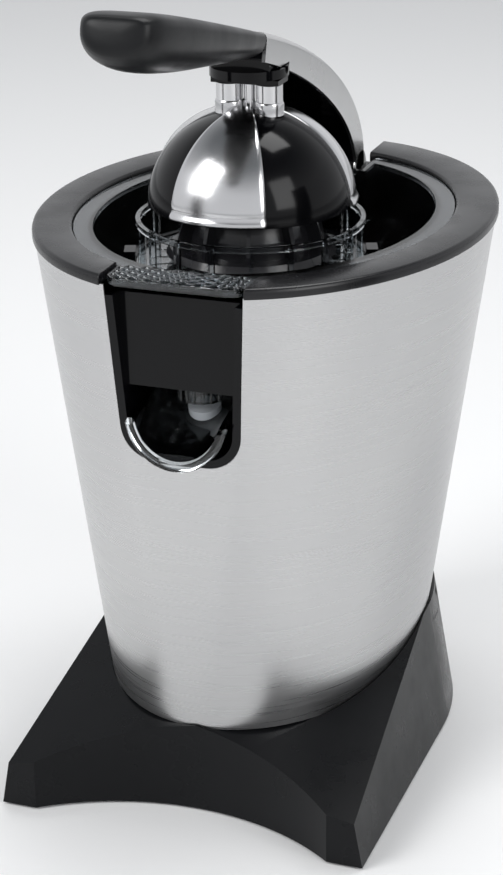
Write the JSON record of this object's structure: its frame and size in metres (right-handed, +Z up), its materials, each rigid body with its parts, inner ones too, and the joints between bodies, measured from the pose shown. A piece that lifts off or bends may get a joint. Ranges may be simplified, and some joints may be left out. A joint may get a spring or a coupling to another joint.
{
  "type": "citrus press juicer",
  "caption": "Electric lever citrus press: tapered oval steel body on a splayed black base, clear juice bowl with drip-stop spout, powered reamer, hinged lever with self-aligning press dome.",
  "frame": {"origin": "on the table under the middle of the oval body, at the underside of the rubber feet", "axes": "+Z up; the spout and the grip face -Y; +X is to the right of a viewer who looks along +Y at the front"},
  "size_m": [0.2, 0.2921, 0.3671],
  "materials": {
    "brushed_steel": "vertically brushed stainless sheet",
    "black_base": "satin moulded black plastic",
    "black_gloss": "glossy black moulding",
    "rim_plastic": "fine-textured black moulding",
    "rubber": "soft rubber",
    "clear_plastic": "clear polished plastic",
    "smoke_plastic": "smooth dark grey food-grade plastic",
    "white_plastic": "smooth food-grade plastic",
    "grip_plastic": "soft-touch charcoal",
    "arm_silver": "satin silver lacquer",
    "polished_steel": "mirror polished",
    "screw_steel": "zinc plated",
    "frame_plastic": "grey engineering plastic",
    "gear_plastic": "natural acetal",
    "bronze": "sintered bronze",
    "silicone": "soft silicone",
    "motor_steel": "zinc-plated sheet",
    "copper": "enamelled windings"
  },
  "bodies": {
    "housing": {"base": "black_base", "rubber_feet": "rubber", "bottom_cover": "rim_plastic", "cover_screws": "screw_steel", "inner_frame": "frame_plastic", "frame_screws": "screw_steel", "body_shell": "brushed_steel", "spout_recess": "black_gloss", "rim_ring": "rim_plastic", "deck": "black_gloss", "deck_screws": "screw_steel", "hinge_bracket": "black_gloss", "bracket_screws": "screw_steel", "gearbox_case": "frame_plastic", "gearbox_lid": "frame_plastic", "gearbox_screws": "screw_steel", "output_bush": "bronze", "shaft_seal": "silicone", "lay_pin": "screw_steel", "microswitch": "black_gloss", "motor_can": "motor_steel", "motor_cap": "motor_steel", "motor_stator": "copper", "motor_screws": "screw_steel", "cord_gland": "rubber", "juice_bowl": "clear_plastic", "strainer": "clear_plastic", "strainer_ring": "black_gloss", "spout_pin": "screw_steel"},
    "output_gear": {"output_gear": "gear_plastic"},
    "reamer": {"drive_shaft": "screw_steel", "press_spring": "screw_steel", "reamer_cone": "smoke_plastic"},
    "layshaft": {"lay_gear": "gear_plastic"},
    "rotor": {"motor_rotor": "motor_steel", "motor_pinion": "bronze", "motor_fan": "frame_plastic"},
    "switch_plunger": {"switch_plunger": "white_plastic"},
    "spout": {"spout_trough": "clear_plastic", "spout_pad": "silicone"},
    "lever": {"hinge_pin": "screw_steel", "arm_cover": "arm_silver", "arm_liner": "black_gloss", "grip": "grip_plastic", "grip_screws": "screw_steel", "dome_mount": "black_gloss", "tilt_pin": "screw_steel"},
    "dome": {"dome_yoke": "black_gloss", "dome_posts": "polished_steel", "dome_rod": "polished_steel", "dome_core": "black_gloss", "dome_petals": "polished_steel"}
  },
  "joints": [
    {"name": "output_spin", "type": "hinge", "parent": "housing", "child": "output_gear", "pos_m": [0, -0.0238, 0.182], "axis": [0, 0, 1], "continuous": true},
    {"name": "reamer_press", "type": "slide", "parent": "output_gear", "child": "reamer", "axis": [0, 0, 1], "range_m": [-0.0025, 0], "stiffness_N_per_m": 2000, "springref_m": 0.004, "deforming": ["press_spring"]},
    {"name": "layshaft_spin", "type": "hinge", "parent": "housing", "child": "layshaft", "pos_m": [0, 0.01245, 0.178], "axis": [0, 0, 1], "continuous": true},
    {"name": "rotor_spin", "type": "hinge", "parent": "housing", "child": "rotor", "pos_m": [0, 0.04245, 0.13], "axis": [0, 0, 1], "continuous": true},
    {"name": "plunger_slide", "type": "slide", "parent": "housing", "child": "switch_plunger", "axis": [0, 0, 1], "range_m": [-0.0025, 0]},
    {"name": "spout_flip", "type": "hinge", "parent": "housing", "child": "spout", "pos_m": [0, -0.0688, 0.1983], "axis": [-1, 0, 0], "range_deg": [0, 14]},
    {"name": "lever_swing", "type": "hinge", "parent": "housing", "child": "lever", "pos_m": [0, 0.09, 0.247], "axis": [-1, 0, 0], "range_deg": [0, 75]},
    {"name": "dome_tilt", "type": "hinge", "parent": "lever", "child": "dome", "pos_m": [0, -0.0238, 0.3187], "axis": [1, 0, 0], "range_deg": [-4, 4]}
  ],
  "couplings": [
    {"joint": "layshaft_spin", "follows": "output_spin", "ratio": -3.1429},
    {"joint": "rotor_spin", "follows": "output_spin", "ratio": 10.327},
    {"joint": "plunger_slide", "follows": "reamer_press", "ratio": 1}
  ]
}
